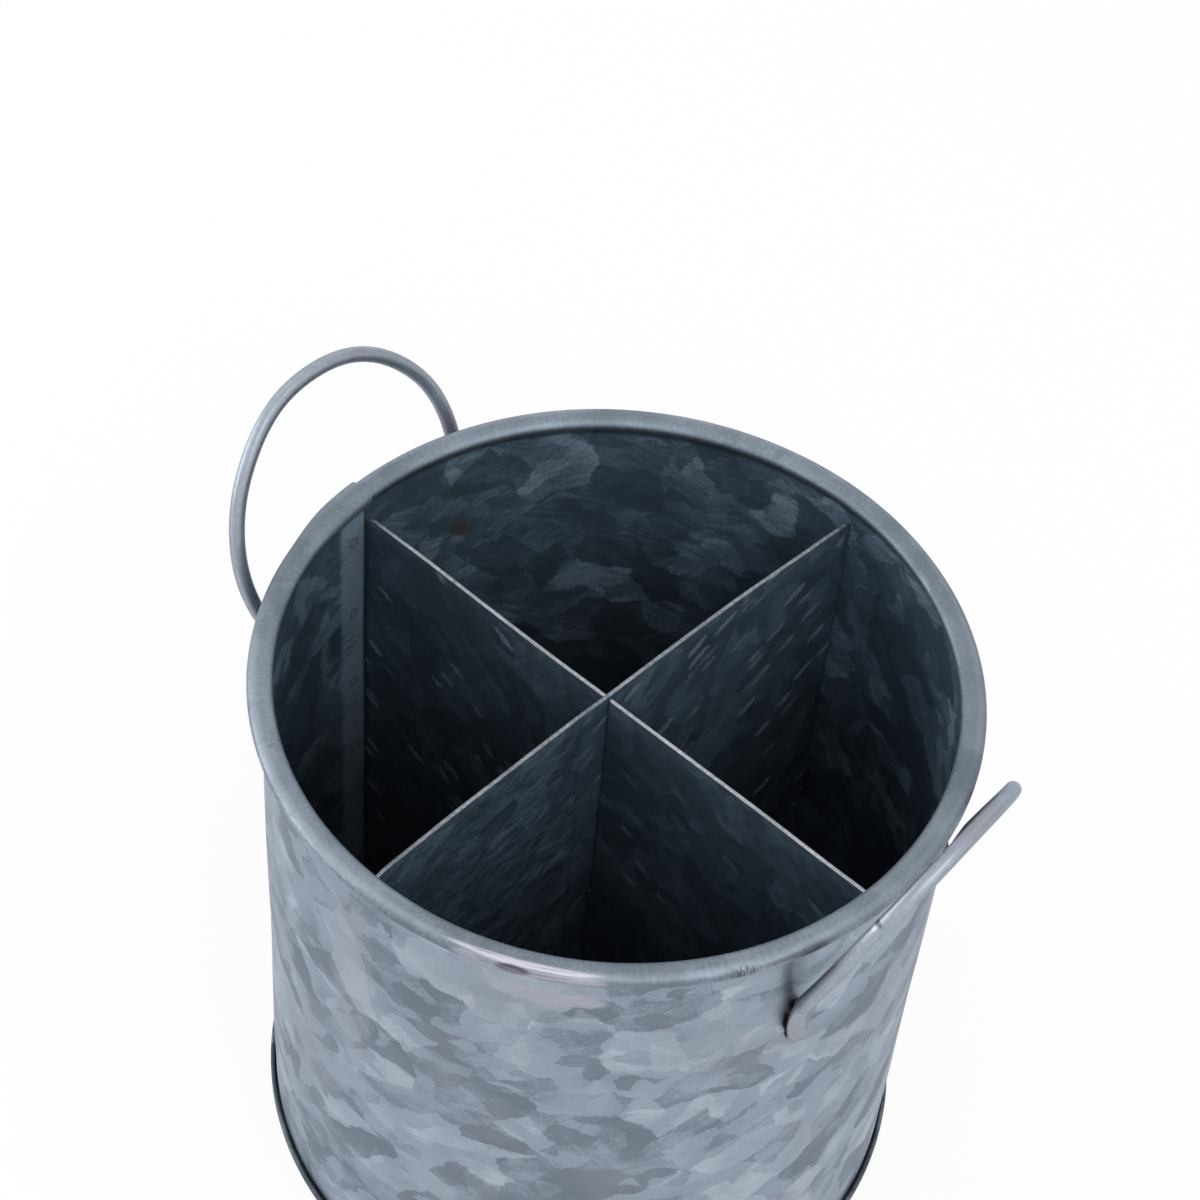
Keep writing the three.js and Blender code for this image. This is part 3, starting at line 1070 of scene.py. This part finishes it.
# %% Group: weld heat
heat, given, gives = new_group(
    "weld heat",
    {"Colour": ("Color", (0.3, 0.3, 0.3, 1)), "Burn": ("Float", 0.0), "Place": ("Vector", None)},
    {"Colour": "Color", "Soot": "Float"},
)
ragged = less(clouds(given["Place"], 0.45, 4, 0.65), 0.5)
burnt = times(given["Burn"], plus(1.0, times(ragged, 1.6)))
soot = band(burnt, 0.7, 1.05)
stages = (
    (band(burnt, 0.12, 0.55, 0, 0.45), (0.30, 0.262, 0.245)),
    (band(burnt, 0.45, 0.8, 0, 0.85), (0.09, 0.075, 0.085)),
    (soot, (0.012, 0.011, 0.012)),
)
feed(gives["Colour"], lay_on(given["Colour"], stages))
feed(gives["Soot"], soot)
print("groups:", [group.name for group in bpy.data.node_groups])

# %% [markdown]
# ## Finish of the body
# Outside, the spangle is pale and bluish. Inside it is the same sheet, gone dull and dark. The rim has
# been rubbed by the rolling tool, so it is plainer, and below it at the front it has bright streaks that
# are partly burnish and partly painted highlight. The stored numbers choose between these looks, and
# patches measured on the flat sheet hold the marks that tools and heat left, along with painted shadows,
# painted highlights and a painted reflection. Little light reaches the bottom of the tin, so the inside
# is painted darker with depth as shade. The lap shows inside as a paler strip with a painted shadow line
# along its edge and a row of spot welds with painted glints.
# Marks lie over one another, so each cell lists its marks as pairs of a mask and a tint, and lays them
# on in turn. The metal is one Principled shader. Its bump is kept very shallow, because spangle is a
# change of tone more than of height.

# %% Start a finish
def new_finish(name):
    finish = bpy.data.materials.new(name)
    finish.use_nodes = True
    tree = finish.node_tree
    shader = tree.nodes["Principled BSDF"]
    shader.inputs["Metallic"].default_value = 0.85
    shader.inputs["Specular Tint"].default_value = (0.78, 0.80, 0.86, 1)
    return finish, tree, shader


def complete(finish, height, depth, pieces):
    tree = finish.node_tree
    bump = add_node(tree, "Bump", {"Strength": 1, "Distance": depth * mm, "Height": height})[0]
    feed(tree.nodes["Principled BSDF"].inputs["Normal"], bump)
    for piece in pieces:
        piece.data.materials.append(finish)
    print(finish.name, "has", len(tree.nodes), "nodes")


outside_tones = (
    (0.15, (0.165, 0.199, 0.248)),
    (0.33, (0.203, 0.244, 0.300)),
    (0.44, (0.268, 0.320, 0.389)),
    (0.72, (0.318, 0.376, 0.449)),
    (0.95, (0.420, 0.478, 0.548)),
)
inside_tones = (
    (0.12, (0.055, 0.084, 0.117)),
    (0.40, (0.073, 0.111, 0.153)),
    (0.55, (0.097, 0.146, 0.201)),
    (0.75, (0.148, 0.216, 0.292)),
    (0.95, (0.260, 0.360, 0.460)),
)
rim_tones = (
    (0.30, (0.172, 0.210, 0.250)),
    (0.50, (0.216, 0.260, 0.306)),
    (0.70, (0.265, 0.314, 0.366)),
)

# %% Body finish: the spangled sheet
body_finish, tree, shader = new_finish("spangled_zinc_finish")
place = stored(tree, "sheet_place", "Vector")
leaf = use_group(tree, spangle, Place=place, Leaf_Size=11.0, Tear=3.0, Lean=0.2)
dust = use_group(tree, bloom, Place=place, Size=0.8)
stroked = swing(leaf["Stroke"], 0.34)
drifted = swing(dust["Cloud"], 0.75)
specked = swing(dust["Speck"], 0.6)
lap = stored(tree, "lap")
to_plain = times(less(1.0, leaf["Tone"]), 0.85)
leafy = times_plus(lap, to_plain, leaf["Tone"])
tone = plus(plus(leafy, stroked), plus(drifted, specked))
lilac = band(clouds(place, 0.024, 2, 0.5), 0.48, 0.64, 0, 0.3)
outer_colour = blend(lilac, ramp(tone, outside_tones), (0.300, 0.302, 0.365, 1))
soft_leaf = times_plus(leafy, 0.95, 0.05)
brushed = times_plus(stroked, 2.1, times_plus(drifted, 0.9, specked))
height_up = one_channel(place, 1)
# painted shade: the inside is darkened towards the bottom, where less light reaches
painted_depth_shade = blend(band(height_up, 35, 118), (0.64, 0.56, 0.54, 1), (1, 1, 1, 1))
inner_bright = ramp(plus(soft_leaf, brushed), inside_tones)
inner_deep = blend(1.0, inner_bright, painted_depth_shade, "MULTIPLY")
# painted shade: a soft dark patch down the inside wall next to the lap
painted_shade_beside_lap = patch(place, (face_jump + lap_width + 20, 105), (17, 75), 0.6)
not_lap = less(0.42, times(lap, 0.42))
inner_colour = blend(times(painted_shade_beside_lap, not_lap), inner_deep, (0.03, 0.045, 0.06, 1))
inside = stored(tree, "inside")
sheet_colour = blend(inside, outer_colour, inner_colour)

# %% Body finish: the rolled rim
rim = stored(tree, "rim")
cross_place = stretch(place, (1.5, 0.12, 1))
cross_grain = clouds(cross_place, 1.0, 3, 0.65)
grained = plus(times_plus(dust["Speck"], 0.9, -0.4), times(cross_grain, 0.6))
rim_tone = plus(grained, times_plus(tone, 0.16, drifted))
with_rim = blend(times(rim, 0.85), sheet_colour, ramp(rim_tone, rim_tones))


def sheet_along(angle):
    return math.radians((angle - seam_angle) % 360) * wall_middle


def roll_up(heading):
    return float(np.interp(-heading, -body_line[rim_first:, 2], line_length[rim_first:]))


def wall_up(height):
    return float(np.interp(height, body_line[:rim_first, 1], line_length[:rim_first]))


def roll_spot(angle, heading):
    return sheet_along(angle) + face_jump, roll_up(heading)


level_place = stretch(place, (0, 1, 0))
# worn crest with a painted highlight: a thin, broken pale line along the outer shoulder of the roll
crest_wear_and_highlight = patch(level_place, (0, roll_up(-20)), (1, 0.6), 0.9)
# painted shadow: a thin dark line just below that crest
shoulder_shadow = patch(level_place, (0, roll_up(-62)), (1, 0.55), 0.8)
# painted shadow: a dark line on the inside just under the roll, where the sheet turns in
fold = patch(level_place, (0, wall_up(145.5)), (1, 1.0), 0.7)
# painted shade: the rim on the right side of the tin is darkened
shaded_rim_side = patch(place, roll_spot(34, -20), (46, 9), 0.9)
rim_wear_and_painted_light = (
    (times(crest_wear_and_highlight, band(dust["Cloud"], 0.40, 0.60, 0.1, 0.4)), (0.40, 0.445, 0.51)),
    (times(shoulder_shadow, band(dust["Speck"], 0.35, 0.6, 0.45, 0.2)), (0.11, 0.13, 0.155)),
    (times(fold, times(inside, 0.6)), (0.03, 0.036, 0.042)),
    (times(shaded_rim_side, 0.35), (0.10, 0.12, 0.145)),
)
rolled_colour = lay_on(with_rim, rim_wear_and_painted_light)

# %% Body finish: burnished streaks, painted highlights, reflection and shadows, smudge and tool marks
streak_place = stretch(place, (0.05, 1.9, 1))
streak = clouds(streak_place, 1.0, 3, 0.6)
ragged_place = move(place, shake(place, 0.22, 3, 0.6, 6))
# burnish wear with a painted sheen: lavender streaks on the roll's outer flank and the wall below it at the
# front
flank_rub_and_sheen = patch(place, roll_spot(-61, -62), (14.8, 1.5), 0.12)
wall_rub_and_sheen = patch(ragged_place, (sheet_along(-58), wall_up(137.4)), (11.5, 3.0), 0.12)
# painted reflection: a soft lavender band down the left of the outer wall
reflected_band = patch(ragged_place, (sheet_along(-93), wall_up(110)), (6.5, 29), 0.3)
# burnish wear with a painted highlight: a bright streaked line along the crest at the front
burnish_and_highlight = patch(place, roll_spot(-62, -22), (14.6, 0.7), 0.2)
smudge = patch(place, roll_spot(-63.2, -66), (3.3, 0.85), 0.3)
scratched = band(clouds(streak_place, 2.2, 2, 0.6), 0.38, 0.52, 0.3, 0.9)
ticks = clouds(stretch(place, (2.4, 0.3, 1)), 1.0, 1, 0.5)
gripped = patch(place, roll_spot(-29.3, -62), (2.5, 1.2), 0.3)
# painted shadow: a dark line in the gap between the roll and the dented wall above the front weld, with a
# darker end
gap_shadow = patch(place, roll_spot(-20, -56), (6.5, 0.6), 0.7)
gap_end_shadow = patch(place, roll_spot(-17.8, -70), (2.6, 1.2), 0.8)
tool_marks_and_painted_light = (
    (times(reflected_band, 0.42), (0.335, 0.335, 0.395)),
    (times(band(streak, 0.40, 0.56, 0.35, 0.9), larger(flank_rub_and_sheen, wall_rub_and_sheen)), (0.40, 0.405, 0.48)),
    (times(burnish_and_highlight, band(streak, 0.40, 0.52, 0.25, 0.9)), (0.58, 0.58, 0.65)),
    (times(smudge, scratched), (0.055, 0.045, 0.06)),
    (times(gripped, band(ticks, 0.44, 0.56, 0.05, 0.75)), (0.075, 0.08, 0.10)),
    (larger(times(gap_shadow, 0.6), times(gap_end_shadow, 0.7)), (0.07, 0.075, 0.095)),
)
tooled_colour = lay_on(rolled_colour, tool_marks_and_painted_light)

# %% Body finish: spot welds and the edge of the lap
lap_middle = lap_width / 2
strip_length = math.tau * wall_middle
run = one_channel(place, 0)
outer_aside = reckon("ABSOLUTE", less(run, strip_length + lap_middle))
inner_aside = reckon("ABSOLUTE", less(run, face_jump + lap_middle))
spot_aside = reckon("MINIMUM", outer_aside, inner_aside)
from_first = less(height_up, spot_spacing / 2 - fit_gap)
spot_above = reckon("WRAP", from_first, spot_spacing / 2, -spot_spacing / 2)
spot_place = add_node(tree, "CombineXYZ", {0: spot_aside, 1: spot_above})[0]
spot_ring = patch(spot_place, (0, 0), (1.5, 1.5), 0.4)
spot_core = patch(spot_place, (0, 0), (0.8, 0.8), 0.5)
spot_dark = times(times_plus(spot_core, -0.35, spot_ring), 0.7)
lap_marks_and_painted_light = (
    (times(spot_dark, less(1, rim)), (0.075, 0.08, 0.095)),
    # painted highlight: a pale glint on each spot weld inside the lap
    (times(spot_core, times(lap, 0.7)), (0.30, 0.40, 0.50)),
    # painted shadow: a thin dark line along the edge of the lap
    (times(band(run, face_jump + 1.1, face_jump + 0.4), times(lap, 0.85)), (0.012, 0.014, 0.017)),
)
lapped_colour = lay_on(tooled_colour, lap_marks_and_painted_light)

# %% Body finish: heat of the handle welds, with painted shadow in the slit and crease
weld_place = stored(tree, "weld_place", "Vector")
weld_near = move(weld_place, shake(weld_place, 0.5, 3, 0.6, 1.6))
weld_number = one_channel(weld_place, 2)
# painted shadow: the dark slit beside the front near tip; the blot above it is soot
slit_shadow = patch(weld_near, weld_offset(0, -18.4, 117.0), (5.2, 0.7), 0.5)
blot = times(patch(weld_near, weld_offset(0, -17.9, 124.8), (3.0, 1.3), 0.8), 0.9)
halo = patch(weld_near, (1.0, -1.5), (11.0, 6.5), 0.9)
soot_and_slit_shadow = times(larger(slit_shadow, blot), band(weld_number, 10, 40, 1, 0.66))
# the burn mask carries the heat tint and soot and also the painted slit shadow, which the heat group turns
# black
burn = times(times_plus(halo, 0.2, soot_and_slit_shadow), less(1, inside))
# stain with painted shade: a soft dark band along the crease above the front near tip
crease = patch(weld_near, weld_offset(0, -17.9, 135.0), (8.5, 1.6), 0.9)
faint = times(inside, band(weld_number, 110, 140, 0.8, 0.15))
through = patch(weld_near, (4.6, 0.0), (2.0, 2.8), 0.9)
weld_marks_and_shade = (
    (times(crease, times_plus(inside, -0.5, 0.5)), (0.115, 0.120, 0.140)),
    (times(through, faint), (0.085, 0.068, 0.058)),
)
heated = use_group(tree, heat, Colour=lay_on(lapped_colour, weld_marks_and_shade), Burn=burn, Place=place)
bead = patch(weld_near, (1.5, -1.0), (0.7, 1.6), 0.6)
feed(shader.inputs["Base Color"], blend(times(bead, faint), heated["Colour"], (0.22, 0.27, 0.33, 1)))

# %% Body finish: sheen and relief
dull = times(inside, less(1, rim))
feed(shader.inputs["Metallic"], times_plus(dull, -0.5, 0.85))
grain_rough = times_plus(dust["Speck"], 0.22, 0.36)
leaf_rough = times_plus(leaf["Tone"], -0.12, grain_rough)
rim_rough = times_plus(rim, 0.10, leaf_rough)
feed(shader.inputs["Roughness"], times_plus(heated["Soot"], 0.3, rim_rough))
relief = times_plus(dust["Speck"], 0.5, leaf["Height"])
complete(body_finish, relief, 0.06, [body])

# %% [markdown]
# ## Finish of the foot
# The pan is the same zinc. Its bead is given a dark greenish grey with little spangle, and the floor
# inside the tin is as dull as the walls round it.

# %% Foot finish
bead_tones = (
    (0.2, (0.062, 0.078, 0.092)),
    (0.5, (0.100, 0.122, 0.138)),
    (0.8, (0.165, 0.190, 0.205)),
)
foot_finish, tree, shader = new_finish("foot_zinc_finish")
place = stored(tree, "sheet_place", "Vector")
leaf = use_group(tree, spangle, Place=place, Leaf_Size=10.0, Tear=3.0, Lean=0.4)
dust = use_group(tree, bloom, Place=place, Size=0.9)
tone = times_plus(less(dust["Speck"], 0.5), 0.4, leaf["Tone"])
bead_colour = ramp(tone, bead_tones)
floor_colour = ramp(tone, inside_tones)
feed(shader.inputs["Base Color"], blend(stored(tree, "inside"), bead_colour, floor_colour))
feed(shader.inputs["Metallic"], times_plus(stored(tree, "inside"), -0.5, 0.85))
feed(shader.inputs["Roughness"], times_plus(dust["Speck"], 0.25, 0.32))
complete(foot_finish, times_plus(dust["Speck"], 0.6, leaf["Height"]), 0.05, [pan])

# %% [markdown]
# ## Finish of the divider
# The plates have the dull look of the inside with finer leaves, and they are the surfaces that cutlery
# scrapes. Their flecks run on a slant and sit in clusters, mostly on one half of the over plate. Its
# other half is lumpy instead. The sheared edges are bare bright metal with a rough grain. Like the
# inside, the plates are painted darker towards the bottom as shade, and the under plate is painted
# darker all over as shade.

# %% Divider finish
plate_tones = (
    (0.15, (0.052, 0.078, 0.107)),
    (0.50, (0.072, 0.107, 0.147)),
    (0.70, (0.093, 0.138, 0.188)),
    (0.95, (0.142, 0.204, 0.270)),
)
edge_tones = (
    (0.28, (0.13, 0.15, 0.175)),
    (0.55, (0.34, 0.36, 0.395)),
    (0.82, (0.60, 0.615, 0.65)),
)
divider_finish, tree, shader = new_finish("divider_zinc_finish")
place = stored(tree, "sheet_place", "Vector")
leaf = use_group(tree, spangle, Place=place, Leaf_Size=7.0, Tear=3.0, Lean=0.7)
dust = use_group(tree, bloom, Place=place, Size=1.0)
stroked = swing(leaf["Stroke"], 0.5)
specked = swing(dust["Speck"], 0.4)
soft_leaf = times_plus(leaf["Tone"], 0.8, 0.1)
tone = plus(soft_leaf, plus(stroked, specked))
plate_bright = ramp(tone, plate_tones)
# painted shade: the plates are darkened towards the bottom, like the inside of the tin
upper = band(one_channel(place, 1), 30, 125)
painted_depth_shade = blend(upper, (0.72, 0.63, 0.60, 1), (1, 1, 1, 1))
plate_deep = blend(1.0, plate_bright, painted_depth_shade, "MULTIPLY")
scraped = use_group(tree, flecks, Place=place, Length=8.5, Width=2.8, Share=0.26, Slant=0.5)
cluster = band(dust["Cloud"], 0.44, 0.54)
used = stored(tree, "scraped")
fleck_mask = times(scraped["Mask"], times(cluster, used))
# painted shade: the under plate is darkened all over
plate_marks = ((stored(tree, "plate_shade"), (0.02, 0.026, 0.034)), (fleck_mask, (0.50, 0.61, 0.76)))
plate_colour = lay_on(plate_deep, plate_marks)
edge_grain = times_plus(dust["Speck"], 0.75, times_plus(dust["Cloud"], 0.6, -0.25))
edge_colour = ramp(plus(edge_grain, stored(tree, "edge_wear")), edge_tones)
bare_edge = stored(tree, "bare_edge")
feed(shader.inputs["Base Color"], blend(bare_edge, plate_colour, edge_colour))
shiny = larger(bare_edge, fleck_mask)
feed(shader.inputs["Metallic"], times_plus(shiny, 0.45, 0.35))
plate_rough = times_plus(dust["Speck"], 0.22, 0.32)
feed(shader.inputs["Roughness"], times_plus(fleck_mask, -0.12, plate_rough))
mottle = clouds(place, 0.22, 2, 0.5)
lumpy = band(used, 0.2, 0.1, 3.0, 14.0)
relief = times_plus(dust["Speck"], 0.4, times_plus(mottle, lumpy, leaf["Height"]))
complete(divider_finish, relief, 0.10, [plate_under, plate_over])

# %% [markdown]
# ## Finish of the handles and welds
# Drawn wire has fine streaks along it and a satin sheen, and here and there a warm tint. Near the welds
# the heat has browned it a little. The side of each leg that faces the wall is painted darker as shade.
# The aprons use the same heat group with a weak burn everywhere.

# %% Handle finish
wire_tones = (
    (0.25, (0.235, 0.268, 0.315)),
    (0.50, (0.340, 0.384, 0.446)),
    (0.78, (0.500, 0.545, 0.610)),
)
front_run = first_seed * wire_jump
handle_finish, tree, shader = new_finish("handle_zinc_finish")
place = stored(tree, "wire_place", "Vector")
dust = use_group(tree, bloom, Place=place, Size=1.1)
drawn = clouds(stretch(place, (0.06, 1.6, 1.6)), 1.0, 3, 0.6)
smeared = times_plus(stored(tree, "burn"), -0.55, 0.75)
streaked = times_plus(less(drawn, 0.5), smeared, 0.5)
tone = times_plus(less(dust["Speck"], 0.5), 0.5, streaked)
nick = patch(place, (front_run + 97.4, front_run - 0.9), (0.55, 1.5), 0.4)
nick_lip = patch(place, (front_run + 98.7, front_run - 0.9), (0.5, 1.2), 0.5)
wire_marks = (
    (band(dust["Cloud"], 0.45, 0.65, 0, 0.5), (0.310, 0.300, 0.335)),
    # painted shade on the side of the wire that faces the wall
    (times(stored(tree, "wall_side_shade"), 0.6), (0.075, 0.072, 0.092)),
    (times(nick, 0.75), (0.09, 0.085, 0.10)),
    (times(nick_lip, 0.6), (0.62, 0.62, 0.66)),
)
wire_colour = lay_on(ramp(tone, wire_tones), wire_marks)
scorch = times(stored(tree, "burn"), 0.3)
heated = use_group(tree, heat, Colour=wire_colour, Burn=scorch, Place=place)
feed(shader.inputs["Base Color"], heated["Colour"])
feed(shader.inputs["Roughness"], times_plus(tone, 0.25, 0.32))
complete(handle_finish, tone, 0.02, loops)

# %% Weld finish
apron_tones = (
    (0.30, (0.225, 0.255, 0.305)),
    (0.50, (0.265, 0.300, 0.355)),
    (0.75, (0.320, 0.350, 0.405)),
)
weld_finish, tree, shader = new_finish("weld_apron_finish")
place = reckon_place("SCALE", add_node(tree, "TexCoord", {})["Object"], 1 / mm)
dust = use_group(tree, bloom, Place=place, Size=1.6)
apron_colour = ramp(dust["Speck"], apron_tones)
heated = use_group(tree, heat, Colour=apron_colour, Burn=0.2, Place=place)
feed(shader.inputs["Base Color"], heated["Colour"])
feed(shader.inputs["Roughness"], times_plus(dust["Speck"], 0.4, 0.3))
complete(weld_finish, dust["Speck"], 0.2, aprons)

# %% [markdown]
# ## Floor, world and lamps
# The tin stands on a white floor in a white room. For the camera, and for reflections, the floor glows
# by itself so that it stays white, and the rest of it takes light as any floor does, so the tin still
# has a shadow. The world does the same. Two broad lamps model the metal: one high on the right, which
# reaches down into the tin, and one low on the left, which grazes the wall.

# %% Floor
def white_for_rays(tree):
    rays = add_node(tree, "LightPath", {})
    return larger(larger(rays["Is Camera Ray"], rays["Is Glossy Ray"]), rays["Is Transmission Ray"])


floor_mesh = bpy.data.meshes.new("studio_floor")
reach = 4.0
floor_mesh.from_pydata([(-reach, -reach, 0), (reach, -reach, 0), (reach, reach, 0), (-reach, reach, 0)], [],
                       [(0, 1, 2, 3)])
floor = bpy.data.objects.new("studio_floor", floor_mesh)
bpy.context.collection.objects.link(floor)
floor_finish = bpy.data.materials.new("studio_floor_white")
floor_finish.use_nodes = True
tree = floor_finish.node_tree
shader = tree.nodes["Principled BSDF"]
shader.inputs["Base Color"].default_value = (0.94, 0.94, 0.94, 1)
shader.inputs["Roughness"].default_value = 0.9
glow = add_node(tree, "Emission", {})[0]
glow_share = times(white_for_rays(tree), 0.9)
mixed_floor = add_node(tree, "MixShader", {0: glow_share, 1: shader.outputs[0], 2: glow})[0]
feed(tree.nodes["Material Output"].inputs["Surface"], mixed_floor)
floor_mesh.materials.append(floor_finish)
print("floor is", 2 * reach, "m across")

# %% World
world = bpy.data.worlds.new("white_room")
bpy.context.scene.world = world
world.use_nodes = True
tree = world.node_tree
sky = tree.nodes["Background"]
sky.inputs["Color"].default_value = (1, 1, 1, 1)
feed(sky.inputs["Strength"], times_plus(white_for_rays(tree), 0.2, 0.8))
bpy.context.scene.view_settings.view_transform = "Standard"

# %% Lamps
def broad_lamp(name, place, aim, size, power):
    lamp_data = bpy.data.lights.new(name, "AREA")
    lamp_data.shape = "RECTANGLE"
    lamp_data.size, lamp_data.size_y = size
    lamp_data.energy = power
    lamp = bpy.data.objects.new(name, lamp_data)
    lamp.location = place
    lamp.rotation_euler = (Vector(aim) - Vector(place)).to_track_quat("-Z", "Y").to_euler()
    bpy.context.collection.objects.link(lamp)
    print(name, power, "W")


broad_lamp("right_softbox", (0.95, -0.42, 1.45), (0, 0, 0.1), (1.2, 1.2), 8)
broad_lamp("left_softbox", (-1.3, -0.9, 0.55), (0, 0, 0.1), (1.2, 0.8), 8)
